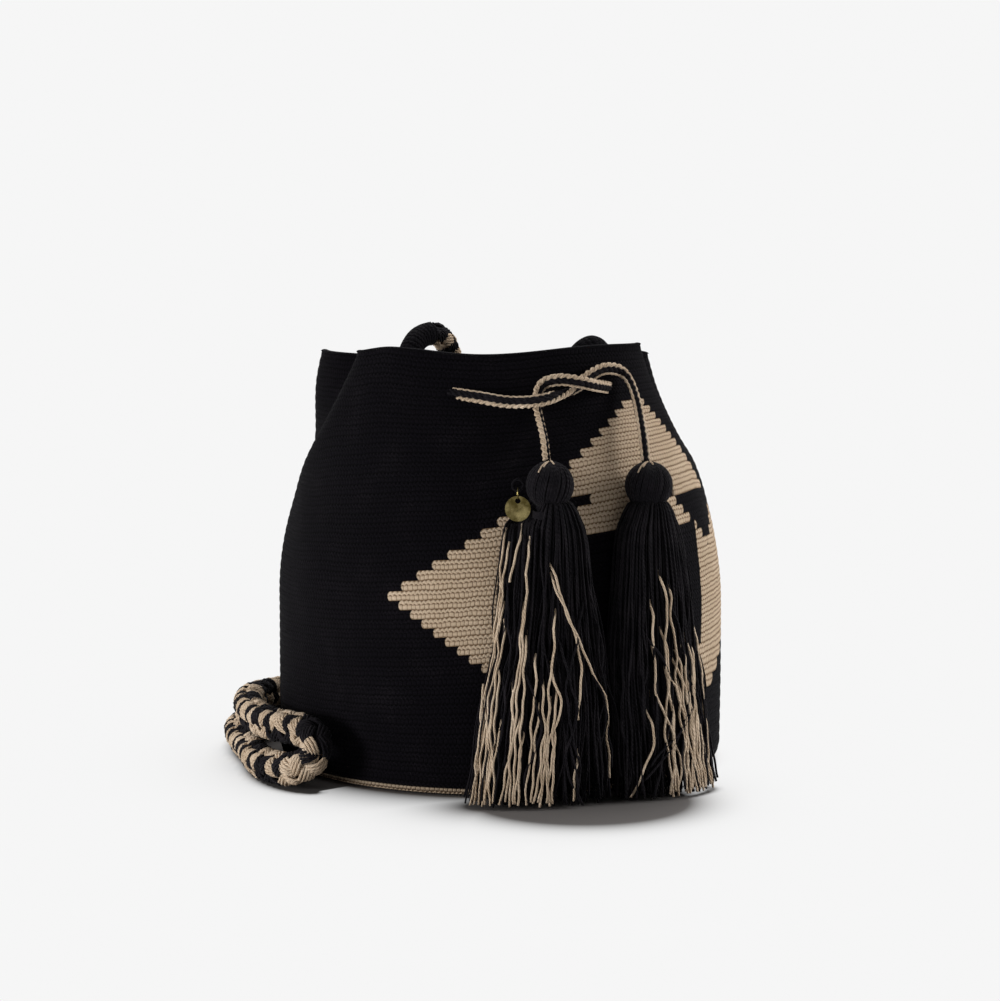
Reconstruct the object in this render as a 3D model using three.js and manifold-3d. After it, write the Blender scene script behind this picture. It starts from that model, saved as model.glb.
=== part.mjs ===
// Crocheted bucket bag with a gathered mouth, a tasselled drawstring, a small brass charm and a braided strap.
// Millimetres, +Z up. The bag stands on z = 0 with the middle of its base at the origin, and its front faces -Y.
// Angles round the bag are in degrees, anticlockwise from +X, seen from above.
import * as THREE from "three";
import { mergeVertices } from "three/addons/utils/BufferGeometryUtils.js";
import Module from "manifold-3d";

const wasm = await Module();
wasm.setup();

// Driving dimensions of the bag body
const wall = 3;
const baseRadius = 104;
const bodyRadius = 111;
const mouthRadius = 84;
const baseCurveHeight = 10;
const shoulderHeight = 82;
const shoulderBend = 0.35;
const rimHeight = 207;
const mouthLean = 8;
const leanStart = 135;
const leanStopBelowRim = 10;
const mouthDepthShare = 0.93;
const ridgeDepth = 0.9;
const ridgePitch = 9;
const rimBead = 1.2;

// Each fold is a valley that runs down from the rim, sharper on its front side, and fades out below
const foldFade = 1.5;
const driftScale = 1.38;
const folds = [
  { angle: 204, drift: -22, depth: 34, before: 18, after: 11, drop: 69 },
  { angle: 350, drift: 4, depth: 22, before: 7, after: 9, drop: 56 },
  { angle: 27, drift: 6, depth: 20, before: 10, after: 10, drop: 66 },
  { angle: 85, drift: -8, depth: 27, before: 14, after: 14, drop: 72 },
];

// Rim height above or below rimHeight, by angle
const rimWave = [
  [-48, 2.5],
  [-22, 2],
  [-8, -3],
  [27, -8],
  [50, -11],
  [110, -10],
  [150, -8],
  [172, -3.5],
  [204, -5],
  [221, -0.5],
  [238, 2],
  [270, -1],
];

// Drawstring, and the two tassels on its ends
const cordDiameter = 6;
const eyeletClearance = 0.5;
const headRadius = 11.5;
const neckRadius = 6.8;
const neckLength = 4;
const bindingThickness = 1.4;
const bindingHeight = 2.6;
const bindingShoulder = 0.7;
const skirtLift = 1.2;
const skirtFlutes = 9;
const fluteDepth = 0.07;
const skirtFlare = 0.44;
const cutWave = 2.5;
const seatGap = 0.3;
const neckStep = 0.1;
const tassels = [
  {
    side: "left",
    head: [23.3, -107],
    headDrop: 59.2,
    foot: [18.5, -125],
    facing: 278,
    halfWidth: 30,
    halfDepth: 12,
  },
  {
    side: "right",
    head: [70.4, -87],
    headDrop: 61.2,
    foot: [78.5, -100.5],
    facing: 308,
    halfWidth: 27,
    halfDepth: 12,
  },
];

// Brass charm, hung from a thread loop at the left tassel's head
const loopRadius = 2.6;
const loopThread = 1.2;
const ringRadius = 2.6;
const ringWire = 0.9;
const linkGap = 0.15;
const discRadius = 6;
const discThickness = 1;
const discHoleRadius = 1.3;
const discHoleInset = 2.3;

// Strap, and the crocheted tabs that hold its ends to the rim
const strapDiameter = 16;
const strapEndDiameter = 12;
const strapTaper = 70;
const tabDiameter = 12.4;
const rightTabLength = 44;
const leftTabLength = 38;

// Facets
const columns = 76;
const innerLevels = 10;
const cordSides = 8;
const cordSteps = 72;
const strapSides = 8;
const strapSteps = 64;
const tabSteps = 5;
const skirtColumns = 27;
const skirtLevels = [0, 0.08, 0.24, 0.44, 0.64, 0.8, 0.92, 0.98, 1];
const headColumns = 16;
const headRows = 10;
const bindingColumns = 14;
const linkSides = 6;
const linkSteps = 16;
const discSteps = 12;

// Drawstring route: left tassel, half knot, round inside the mouth and back, half knot, right tassel.
// The third number of each point is how far it lies below the rim.
const cordRoute = [
  [22, -102.1, 48.4],
  [20.8, -96.8, 38.5],
  [18.6, -88.2, 29],
  [17.2, -84.2, 21],
  [20.2, -82.2, 13.8],
  [28, -82.2, 11.6],
  [36.6, -83, 12.4],
  [45, -76.4, 14.6],
  [50.6, -66.4, 16.2],
  [53.6, -56, 17.4],
  [61.6, -43, 18.4],
  [69.4, -27, 19.4],
  [74, -8, 22],
  [73, 13, 25],
  [66, 33, 27],
  [53, 51, 29],
  [35, 64.5, 29.6],
  [-11, 76.6, 29],
  [-35, 72, 28.4],
  [-55.5, 58, 26.6],
  [-72.5, 41.5, 24.6],
  [-82.5, 23, 23.2],
  [-82.5, 5, 22.2],
  [-71.5, -6.5, 21.4],
  [-61.5, -20, 20.8],
  [-64, -38, 20.2],
  [-56, -56.5, 19.4],
  [-42, -68.5, 18.8],
  [-27, -77.8, 18],
  [-11, -84.6, 19.6],
  [4, -87.4, 21.8],
  [18, -90.8, 21],
  [28, -84.6, 18.6],
  [35.2, -75.8, 16.8],
  [41.4, -71.6, 11.4],
  [50.4, -64.8, 7.4],
  [59.4, -58.6, 10],
  [64.4, -64, 19.6],
  [67.4, -74.4, 34.4],
  [69.2, -82, 50.4],
];

// Strap route: right tab, down the back, doubled round the left side, up the back, left tab
const strapRoute = [
  [39.3, 54.6, 184],
  [39.8, 51.2, 197],
  [47.5, 56, 203.2],
  [54, 66.5, 196.5],
  [58, 77, 183],
  [65, 92, 152],
  [71, 98, 110],
  [69, 105, 34],
  [61, 113, 16],
  [44, 122, 9],
  [10, 134, 8.6],
  [-38, 130, 8.6],
  [-84, 107, 8.6],
  [-116, 76, 8.6],
  [-132.5, 40, 8.6],
  [-131.5, 5, 8.6],
  [-124, -28, 8.6],
  [-118, -56, 8.6],
  [-109.5, -77, 8.8],
  [-98.6, -91.4, 10.6],
  [-89.4, -96.4, 15.6],
  [-87, -94, 23],
  [-92.8, -84.4, 27.4],
  [-107.5, -65, 26.8],
  [-118, -41, 25.6],
  [-126.5, -7, 25],
  [-125.5, 31, 24.6],
  [-108, 66, 22],
  [-81.5, 89.8, 16.5],
  [-53, 108.8, 17],
  [-33, 117, 26],
  [-26, 118, 54],
  [-25, 117.5, 92],
  [-26, 98.5, 160],
  [-26, 89, 184],
  [-27, 85.5, 200],
  [-33.5, 76.5, 208.8],
  [-42.5, 65.5, 207],
  [-47.8, 56.6, 197.4],
  [-51.3, 59.8, 184],
];

const rad = THREE.MathUtils.degToRad;
const smooth = THREE.MathUtils.smoothstep;

// Shortest signed way from one angle to another, in degrees
function turn(from, to) {
  return THREE.MathUtils.euclideanModulo(to - from + 180, 360) - 180;
}

// Round, upright radius of the wall at a height, before the folds
function plainRadius(z) {
  if (z < baseCurveHeight) {
    const up = 1 - Math.max(z, 0) / baseCurveHeight;
    return baseRadius + (bodyRadius - baseRadius) * Math.sqrt(1 - up * up);
  }
  const t = Math.max(0, (z - shoulderHeight) / (rimHeight - shoulderHeight));
  const bend = shoulderBend;
  const steepness = 1 / (bend * bend + 2 * bend * (1 - bend));
  const drawnIn = t < bend ? steepness * t * t : steepness * bend * (2 * t - bend);
  return bodyRadius - (bodyRadius - mouthRadius) * drawnIn;
}

// How far the folds push the wall in at an angle and height
function foldDepth(angle, z) {
  let depth = 0;
  for (const fold of folds) {
    const up = (z - (rimHeight - fold.drop)) / fold.drop;
    if (up <= 0) continue;
    const centre = fold.angle + fold.drift * Math.pow(Math.max(0, 1 - up) * driftScale, foldFade);
    const off = turn(centre, angle);
    const spread = off < 0 ? fold.before : fold.after;
    depth += fold.depth * Math.pow(up, foldFade) * Math.exp(-((off / spread) ** 2));
  }
  return depth;
}

// Smooth closed curve through the rim's high and low points
function rimOffset(angle) {
  const count = rimWave.length;
  for (let i = 0; i < count; i++) {
    const [start, low] = rimWave[i];
    const [end, high] = rimWave[(i + 1) % count];
    const along = THREE.MathUtils.euclideanModulo(angle - start, 360);
    const span = THREE.MathUtils.euclideanModulo(end - start, 360);
    if (along <= span) return low + (high - low) * smooth(along / span, 0, 1);
  }
  return 0;
}

// Outer skin point for an angle and a nominal height, moved inwards by inset along the wall's own normal
function wallPoint(angle, height, inset) {
  const at = (a) => {
    const r = plainRadius(height) - foldDepth(a, height);
    const flat = 1 - (1 - mouthDepthShare) * smooth(height, shoulderHeight, rimHeight);
    return new THREE.Vector2(r * Math.cos(rad(a)), r * Math.sin(rad(a)) * flat);
  };
  const point = at(angle);
  const along = at(angle + 1).sub(at(angle - 1)).normalize();
  const outward = new THREE.Vector2(along.y, -along.x);
  point.addScaledVector(outward, -inset);
  const shift = -mouthLean * smooth(height, leanStart, rimHeight - leanStopBelowRim);
  const lift = rimOffset(angle) * smooth(height, shoulderHeight, rimHeight);
  return new THREE.Vector3(point.x + shift, point.y, height + lift);
}

// Closed mesh from rings of points, listed from the first pole to the last
function closedRings(rings, firstPole, lastPole) {
  const count = rings[0].length;
  const points = [firstPole, ...rings.flat(), lastPole];
  const faces = [];
  const at = (ring, i) => 1 + ring * count + (i % count);
  for (let i = 0; i < count; i++) {
    faces.push(0, at(0, i + 1), at(0, i));
    for (let ring = 0; ring + 1 < rings.length; ring++) {
      faces.push(at(ring, i), at(ring, i + 1), at(ring + 1, i + 1));
      faces.push(at(ring, i), at(ring + 1, i + 1), at(ring + 1, i));
    }
    faces.push(points.length - 1, at(rings.length - 1, i), at(rings.length - 1, i + 1));
  }
  const geometry = new THREE.BufferGeometry().setFromPoints(points);
  geometry.setIndex(faces);
  return geometry;
}

function toSolid(geometry) {
  const plain = new THREE.BufferGeometry();
  plain.setAttribute("position", geometry.getAttribute("position"));
  plain.setIndex(geometry.index);
  const merged = mergeVertices(plain, 1e-4);
  const vertProperties = new Float32Array(merged.attributes.position.array);
  const triVerts = new Uint32Array(merged.index.array);
  return new wasm.Manifold(new wasm.Mesh({ numProp: 3, vertProperties, triVerts }));
}

function fromSolid(solid) {
  const mesh = solid.getMesh();
  const geometry = new THREE.BufferGeometry();
  geometry.setAttribute("position", new THREE.BufferAttribute(mesh.vertProperties, 3));
  geometry.setIndex(new THREE.BufferAttribute(mesh.triVerts, 1));
  return geometry;
}

// Part of a longer curve, between two distances along it
class Stretch extends THREE.Curve {
  constructor(whole, from, to) {
    super();
    this.whole = whole;
    this.from = from / whole.getLength();
    this.to = to / whole.getLength();
  }
  getPoint(t, target = new THREE.Vector3()) {
    return this.whole.getPointAt(THREE.MathUtils.lerp(this.from, this.to, t), target);
  }
}

function routeCurve(route) {
  const points = route.map((p) => new THREE.Vector3(...p));
  const curve = new THREE.CatmullRomCurve3(points, false, "catmullrom", 0.5);
  curve.arcLengthDivisions = 1200;
  return curve;
}

// Round tube along a curve; radiusAt gives the radius at a share of the curve's length
function tube(curve, sides, steps, radiusAt) {
  const section = new THREE.Shape();
  for (let i = 0; i < sides; i++) {
    const a = (2 * Math.PI * i) / sides;
    if (i === 0) section.moveTo(1, 0);
    else section.lineTo(Math.cos(a), Math.sin(a));
  }
  const geometry = new THREE.ExtrudeGeometry(section, { steps, extrudePath: curve, bevelEnabled: false });
  const centres = curve.getSpacedPoints(steps);
  const position = geometry.getAttribute("position");
  const point = new THREE.Vector3();
  for (let i = 0; i < position.count; i++) {
    point.fromBufferAttribute(position, i);
    const distances = centres.map((c) => c.distanceToSquared(point));
    const nearest = distances.indexOf(Math.min(...distances));
    const centre = centres[nearest];
    point.sub(centre).multiplyScalar(radiusAt(nearest / steps)).add(centre);
    position.setXYZ(i, point.x, point.y, point.z);
  }
  return geometry;
}

const charcoal = new THREE.MeshStandardMaterial({ color: 0x17161a, roughness: 0.95, metalness: 0 });
const twoTone = new THREE.MeshStandardMaterial({ color: 0x8d8073, roughness: 0.9, metalness: 0 });
const brass = new THREE.MeshStandardMaterial({ color: 0x9a8440, roughness: 0.35, metalness: 1 });
const blackThread = new THREE.MeshStandardMaterial({ color: 0x0f0f12, roughness: 0.8, metalness: 0 });

const bag = new THREE.Group();

function add(name, geometry, material, parent = bag) {
  const mesh = new THREE.Mesh(geometry, material);
  mesh.name = name;
  parent.add(mesh);
  return mesh;
}

// Bag body: ridged outer skin, smooth inner skin, flat base
function bodyGeometry() {
  const angles = Array.from({ length: columns }, (_, i) => (360 * i) / columns);
  const ring = (height, inset) => angles.map((a) => wallPoint(a, height, inset));
  const rings = [ring(0, 0)];
  const ridges = Math.round(rimHeight / ridgePitch);
  for (let i = 0; i < ridges; i++) {
    const low = (i * rimHeight) / ridges;
    if (i > 0) rings.push(ring(low, ridgeDepth));
    rings.push(ring(low + rimHeight / ridges / 2, 0));
  }
  rings.push(ring(rimHeight - rimBead, ridgeDepth / 2));
  rings.push(ring(rimHeight, wall / 2));
  for (let i = 0; i < innerLevels; i++) {
    const height = rimHeight - rimBead - ((rimHeight - rimBead - wall) * i) / (innerLevels - 1);
    rings.push(ring(height, wall + (i === 0 ? 0 : ridgeDepth / 2)));
  }
  return closedRings(rings, new THREE.Vector3(0, 0, 0), new THREE.Vector3(0, 0, wall));
}

const cordCurve = routeCurve(cordRoute.map(([x, y, drop]) => [x, y, rimHeight - drop]));
const passage = tube(cordCurve, cordSides, cordSteps, () => cordDiameter / 2 + eyeletClearance);
const body = toSolid(bodyGeometry()).subtract(toSolid(passage));
add("bag_body", fromSolid(body), charcoal);
add("drawstring", tube(cordCurve, cordSides, cordSteps, () => cordDiameter / 2), twoTone);

// One tassel: round head, neck binding, and a fluted skirt that is flat against the bag and ragged at its foot
function addTassel({ side, head, headDrop, foot, facing, halfWidth, halfDepth }) {
  const [x, y] = head;
  const z = rimHeight - headDrop;
  const ball = new THREE.SphereGeometry(headRadius, headColumns, headRows);
  ball.rotateX(Math.PI / 2);
  add(`tassel_${side}_head`, ball, blackThread).position.set(x, y, z);

  const neckTop = z - headRadius - seatGap;
  const bindingInner = neckRadius + seatGap;
  const bindingProfile = [
    new THREE.Vector2(bindingInner, -bindingHeight / 2),
    new THREE.Vector2(bindingInner + bindingThickness * bindingShoulder, -bindingHeight / 2),
    new THREE.Vector2(bindingInner + bindingThickness, 0),
    new THREE.Vector2(bindingInner + bindingThickness * bindingShoulder, bindingHeight / 2),
    new THREE.Vector2(bindingInner, bindingHeight / 2),
    new THREE.Vector2(bindingInner, -bindingHeight / 2),
  ];
  const band = new THREE.LatheGeometry(bindingProfile, bindingColumns);
  band.rotateX(Math.PI / 2);
  const bindingHeightAt = neckTop - neckLength / 2;
  add(`tassel_${side}_binding`, band, blackThread).position.set(x, y, bindingHeightAt);

  const outward = new THREE.Vector3(Math.cos(rad(facing)), Math.sin(rad(facing)), 0);
  const across = new THREE.Vector3(outward.y, -outward.x, 0);
  const top = new THREE.Vector3(x, y, neckTop);
  const bottom = new THREE.Vector3(...foot, skirtLift);
  const skirtTop = neckTop - neckLength - seatGap;
  const rings = skirtLevels.map((level) => {
    const down = 1 - level;
    const height = THREE.MathUtils.lerp(bottom.z, skirtTop, level);
    const centre = bottom.clone().lerp(top, level).setZ(height);
    const wide = THREE.MathUtils.lerp(neckRadius + bindingThickness, halfWidth, Math.pow(down, skirtFlare));
    const deep = THREE.MathUtils.lerp(neckRadius, halfDepth, Math.pow(down, skirtFlare));
    const clearOfWall = plainRadius(height) + deep * (1 + fluteDepth) + seatGap;
    if (Math.hypot(centre.x, centre.y) < clearOfWall) {
      const angle = Math.atan2(centre.y, centre.x);
      centre.set(clearOfWall * Math.cos(angle), clearOfWall * Math.sin(angle), height);
    }
    return Array.from({ length: skirtColumns }, (_, i) => {
      const a = (2 * Math.PI * i) / skirtColumns;
      const flute = 1 + fluteDepth * down * Math.cos(skirtFlutes * a);
      const cut = level === 0 ? cutWave * (1 + Math.cos(skirtFlutes * a + 2)) : 0;
      const point = centre.clone().addScaledVector(across, wide * flute * Math.cos(a));
      point.addScaledVector(outward, deep * flute * Math.sin(a));
      point.z += cut;
      return point;
    });
  });
  const neckRing = (height) =>
    Array.from({ length: skirtColumns }, (_, i) => {
      const a = (2 * Math.PI * i) / skirtColumns;
      const point = new THREE.Vector3(x, y, height);
      point.addScaledVector(across, neckRadius * Math.cos(a));
      return point.addScaledVector(outward, neckRadius * Math.sin(a));
    });
  rings.push(neckRing(skirtTop + neckStep), neckRing(neckTop));
  const footPole = bottom.clone().setZ(bottom.z + cutWave);
  add(`tassel_${side}_skirt`, closedRings(rings, footPole, new THREE.Vector3(x, y, neckTop)), blackThread);
}

tassels.forEach(addTassel);

// Charm: thread loop at the head's side, ring hung on the loop, disc hung on the ring
const [headX, headY] = tassels[0].head;
const headZ = rimHeight - tassels[0].headDrop;
const charm = new THREE.Group();
charm.position.set(headX - headRadius - seatGap - loopThread / 2 - loopRadius, headY, headZ);
bag.add(charm);

const loopShape = new THREE.TorusGeometry(loopRadius, loopThread / 2, linkSides, linkSteps);
loopShape.rotateX(Math.PI / 2);
add("charm_loop", loopShape, blackThread, charm);

const ringTop = -loopRadius + (loopThread + ringWire) / 2 + linkGap;
const ringShape = new THREE.TorusGeometry(ringRadius, ringWire / 2, linkSides, linkSteps);
ringShape.rotateY(Math.PI / 2);
add("jump_ring", ringShape, brass, charm).position.z = ringTop - ringRadius;

const discOutline = new THREE.Shape().absarc(0, 0, discRadius, 0, 2 * Math.PI);
const discHole = new THREE.Path().absarc(0, discRadius - discHoleInset, discHoleRadius, 0, 2 * Math.PI);
discOutline.holes.push(discHole);
const discShape = new THREE.ExtrudeGeometry(discOutline, {
  depth: discThickness,
  bevelEnabled: false,
  curveSegments: discSteps,
});
discShape.translate(0, 0, -discThickness / 2);
discShape.rotateX(Math.PI / 2);
const holeHeight = ringTop - 2 * ringRadius - (discHoleRadius - ringWire / 2 - linkGap);
add("charm_disc", discShape, brass, charm).position.z = holeHeight - (discRadius - discHoleInset);

// Strap with thinner ends, and a tab sewn over each end
const strapCurve = routeCurve(strapRoute);
const strapLength = strapCurve.getLength();
const strapStart = rightTabLength + seatGap;
const strapEnd = strapLength - leftTabLength - seatGap;

function strapRadius(share) {
  const fromEnd = Math.min(share, 1 - share) * (strapEnd - strapStart);
  const full = smooth(fromEnd, 0, strapTaper);
  return THREE.MathUtils.lerp(strapEndDiameter, strapDiameter, full) / 2;
}

add("strap", tube(new Stretch(strapCurve, strapStart, strapEnd), strapSides, strapSteps, strapRadius), twoTone);
const tabRadius = () => tabDiameter / 2;
const rightTab = new Stretch(strapCurve, 0, rightTabLength);
const leftTab = new Stretch(strapCurve, strapLength - leftTabLength, strapLength);
add("strap_tab_right", tube(rightTab, strapSides, tabSteps, tabRadius), charcoal);
add("strap_tab_left", tube(leftTab, strapSides, tabSteps, tabRadius), charcoal);

export default bag;
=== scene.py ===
"""Looks of a small crocheted drawstring bag: crochet wall, braided cord, wound tassels and braided strap."""

import math

import bpy
import numpy as np
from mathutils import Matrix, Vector


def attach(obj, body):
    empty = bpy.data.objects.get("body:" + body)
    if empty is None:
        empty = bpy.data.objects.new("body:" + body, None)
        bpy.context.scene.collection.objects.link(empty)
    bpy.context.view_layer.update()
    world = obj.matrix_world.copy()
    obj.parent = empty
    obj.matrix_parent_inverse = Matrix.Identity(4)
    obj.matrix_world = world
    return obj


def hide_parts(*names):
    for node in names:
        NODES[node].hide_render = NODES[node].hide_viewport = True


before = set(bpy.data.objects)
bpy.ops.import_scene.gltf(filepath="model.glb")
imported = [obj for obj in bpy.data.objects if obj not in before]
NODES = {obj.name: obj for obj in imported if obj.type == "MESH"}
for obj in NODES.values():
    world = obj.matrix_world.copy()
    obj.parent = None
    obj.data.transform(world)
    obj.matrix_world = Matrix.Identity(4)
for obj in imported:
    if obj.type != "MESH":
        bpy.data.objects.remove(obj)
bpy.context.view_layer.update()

MM = 0.001
scene = bpy.context.scene
scene.view_settings.view_transform = "Standard"

# The camera looks slightly down along +Y.
CAMERA_PLACE = (0.0, -1.5, 0.290)
CAMERA_PITCH = 6.12
CAMERA_LENS = 108.0
camera_data = bpy.data.cameras.new("camera")
camera_data.lens = CAMERA_LENS
camera_data.clip_start = 0.05
camera = bpy.data.objects.new("camera", camera_data)
camera.location = CAMERA_PLACE
camera.rotation_euler = (math.radians(90 - CAMERA_PITCH), 0, 0)
scene.collection.objects.link(camera)
scene.camera = camera

# The bag's named sizes in millimetres. Those that shape a solid are the same as in the part's source.
WALL = 3.0
BASE_RADIUS = 104.0
BODY_RADIUS = 111.0
MOUTH_RADIUS = 84.0
BASE_CURVE = 10.0
SHOULDER = 82.0
RIM = 207.0
MOUTH_LEAN = 8.0
LEAN_START = 135.0
MOUTH_DEPTH_SHARE = 0.93
RIM_BEAD = 1.2
FOLDS = [
    (204, -22, 34, 18, 11, 69),
    (350, 4, 22, 7, 9, 56),
    (27, 6, 20, 10, 10, 66),
    (85, -8, 27, 14, 14, 72),
]
RIM_WAVE = [
    (-48, 2.5), (-22, 2), (-8, -3), (27, -8), (50, -11), (110, -10),
    (150, -8), (172, -3.5), (204, -5), (221, -0.5), (238, 2), (270, -1),
]
HEAD_RADIUS = 11.5
NECK_RADIUS = 6.8
TASSELS = {
    "left": {"head": (23.3, -107, 147.8), "foot": (18.5, -125), "facing": 278, "wide": 30, "deep": 12},
    "right": {"head": (70.4, -87, 145.8), "foot": (78.5, -100.5), "facing": 308, "wide": 27, "deep": 12},
}
STRAP_DIAMETER = 16.0
STRAP_END_DIAMETER = 12.0
STRAP_TAPER = 70.0
TAB_DIAMETER = 12.4
RIGHT_TAB = 44.0
LEFT_TAB = 38.0
ROW = 4.5
STITCHES = 216

CORD_ROUTE = [
    (22, -102.1, 48.4), (20.8, -96.8, 38.5), (18.6, -88.2, 29), (17.2, -84.2, 21), (20.2, -82.2, 13.8),
    (28, -82.2, 11.6), (36.6, -83, 12.4), (45, -76.4, 14.6), (50.6, -66.4, 16.2), (53.6, -56, 17.4),
    (61.6, -43, 18.4), (69.4, -27, 19.4), (74, -8, 22), (73, 13, 25), (66, 33, 27), (53, 51, 29),
    (35, 64.5, 29.6), (-11, 76.6, 29), (-35, 72, 28.4), (-55.5, 58, 26.6), (-72.5, 41.5, 24.6),
    (-82.5, 23, 23.2), (-82.5, 5, 22.2), (-71.5, -6.5, 21.4), (-61.5, -20, 20.8), (-64, -38, 20.2),
    (-56, -56.5, 19.4), (-42, -68.5, 18.8), (-27, -77.8, 18), (-11, -84.6, 19.6), (4, -87.4, 21.8),
    (18, -90.8, 21), (28, -84.6, 18.6), (35.2, -75.8, 16.8), (41.4, -71.6, 11.4), (50.4, -64.8, 7.4),
    (59.4, -58.6, 10), (64.4, -64, 19.6), (67.4, -74.4, 34.4), (69.2, -82, 50.4),
]
STRAP_ROUTE = [
    (39.3, 54.6, 184), (39.8, 51.2, 197), (47.5, 56, 203.2), (54, 66.5, 196.5), (58, 77, 183),
    (65, 92, 152), (71, 98, 110), (69, 105, 34), (61, 113, 16), (44, 122, 9), (10, 134, 8.6),
    (-38, 130, 8.6), (-84, 107, 8.6), (-116, 76, 8.6), (-132.5, 40, 8.6), (-131.5, 5, 8.6),
    (-124, -28, 8.6), (-118, -56, 8.6), (-109.5, -77, 8.8), (-98.6, -91.4, 10.6), (-89.4, -96.4, 15.6),
    (-87, -94, 23), (-92.8, -84.4, 27.4), (-107.5, -65, 26.8), (-118, -41, 25.6), (-126.5, -7, 25),
    (-125.5, 31, 24.6), (-108, 66, 22), (-81.5, 89.8, 16.5), (-53, 108.8, 17), (-33, 117, 26),
    (-26, 118, 54), (-25, 117.5, 92), (-26, 98.5, 160), (-26, 89, 184), (-27, 85.5, 200),
    (-33.5, 76.5, 208.8), (-42.5, 65.5, 207), (-47.8, 56.6, 197.4), (-51.3, 59.8, 184),
]


def smooth(x, low, high):
    """0 below low, 1 above high, and an even rise between."""
    t = np.clip((np.asarray(x, float) - low) / (high - low), 0, 1)
    return t * t * (3 - 2 * t)


def unit(v):
    """Each row of v made one long."""
    return v / np.maximum(np.linalg.norm(v, axis=-1, keepdims=True), 1e-12)


# Centrelines

SPAN_STEPS = 40


class Line:
    """A smooth line through given points, measured along its length, in millimetres."""

    def __init__(self, points, per_span=SPAN_STEPS):
        p = np.array(points, float)
        p = np.vstack([2 * p[0] - p[1], p, 2 * p[-1] - p[-2]])
        t = np.linspace(0, 1, per_span, endpoint=False)[:, None]
        out = []
        for i in range(1, len(p) - 2):
            a, b, c, d = p[i - 1], p[i], p[i + 1], p[i + 2]
            m0, m1 = (c - a) / 2, (d - b) / 2
            out.append(
                (2 * t**3 - 3 * t**2 + 1) * b
                + (t**3 - 2 * t**2 + t) * m0
                + (-2 * t**3 + 3 * t**2) * c
                + (t**3 - t**2) * m1
            )
        self.points = np.vstack([*out, p[-2:-1]])
        self.steps = np.concatenate([[0], np.cumsum(np.linalg.norm(np.diff(self.points, axis=0), axis=1))])
        self.length = self.steps[-1]

    def at(self, s):
        """The points at lengths s."""
        return np.stack([np.interp(s, self.steps, self.points[:, k]) for k in range(3)], -1)


def carried_frame(points, start):
    """Two cross directions along the points, turned as little as can be."""
    tangents = unit(np.gradient(points, axis=0))
    side = np.empty_like(points)
    now = np.array(start, float)
    for i, t in enumerate(tangents):
        now = now - t * (now @ t)
        now = now / max(np.linalg.norm(now), 1e-9)
        side[i] = now
    return side, np.cross(tangents, side)


# Meshes


class Mesh:
    """Collects rings of points into one mesh with a length and a turn stored at each corner."""

    def __init__(self):
        self.points, self.faces, self.slots, self.corners = [], [], [], []
        self.count = 0

    def thread(self, line, radius, sides, slot=0, turn=0.0):
        """A closed tube along the line."""
        n = len(line)
        side, other = carried_frame(line, (0.3, 0.2, 0.9))
        radius = np.broadcast_to(np.asarray(radius, float), (n,))
        a = np.arange(sides) * 2 * np.pi / sides
        ring = (
            line[:, None]
            + radius[:, None, None] * np.cos(a)[None, :, None] * side[:, None]
            + radius[:, None, None] * np.sin(a)[None, :, None] * other[:, None]
        )
        base = self.count
        self.points.append(ring.reshape(-1, 3))
        self.count += n * sides
        along = np.concatenate([[0], np.cumsum(np.linalg.norm(np.diff(line, axis=0), axis=1))])
        i, j = np.meshgrid(np.arange(n - 1), np.arange(sides), indexing="ij")
        i, j = i.ravel(), j.ravel()
        k = (j + 1) % sides
        quads = np.stack([i * sides + j, i * sides + k, (i + 1) * sides + k, (i + 1) * sides + j], 1) + base
        around_quad = ((0, 0), (0, 1), (1, 1), (1, 0))
        corner = np.stack([np.stack([along[i + p], (j + q) / sides + turn], 1) for p, q in around_quad], 1)
        self.faces.extend(quads.tolist())
        self.corners.append(corner.reshape(-1, 2))
        for end, order in ((0, -1), (n - 1, 1)):
            cap = (base + end * sides + np.arange(sides))[::order]
            self.faces.append(cap.tolist())
            self.corners.append(np.tile([along[end], 0.0], (sides, 1)))
        self.slots.extend([slot] * (len(quads) + 2))

    def grid(self, points, values):
        """Closed rings of points joined by four-sided faces. values holds the numbers kept for each point."""
        rows, columns = points.shape[:2]
        base = self.count
        self.points.append(points.reshape(-1, 3))
        self.count += rows * columns
        for r in range(rows - 1):
            for c in range(columns):
                d = (c + 1) % columns
                here, above = base + r * columns, base + (r + 1) * columns
                self.faces.append([here + c, here + d, above + d, above + c])
                self.corners.append([values[r, c], values[r, c + 1], values[r + 1, c + 1], values[r + 1, c]])
        self.slots.extend([0] * ((rows - 1) * columns))
        return base

    def make(self, name, materials):
        """The collected mesh as a smooth piece of the scene, in metres."""
        data = bpy.data.meshes.new(name)
        data.from_pydata((np.vstack(self.points) * MM).tolist(), [], self.faces)
        for m in materials:
            data.materials.append(m)
        data.polygons.foreach_set("material_index", np.array(self.slots, np.int32))
        data.polygons.foreach_set("use_smooth", np.ones(len(self.faces), bool))
        corner = np.vstack(self.corners).astype(np.float32)
        for k, label in enumerate(("along", "around", "lift")[: corner.shape[1]]):
            layer = data.attributes.new(label, "FLOAT", "CORNER")
            layer.data.foreach_set("value", np.ascontiguousarray(corner[:, k]))
        data.update()
        piece = bpy.data.objects.new(name, data)
        scene.collection.objects.link(piece)
        return piece


# Materials


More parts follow.
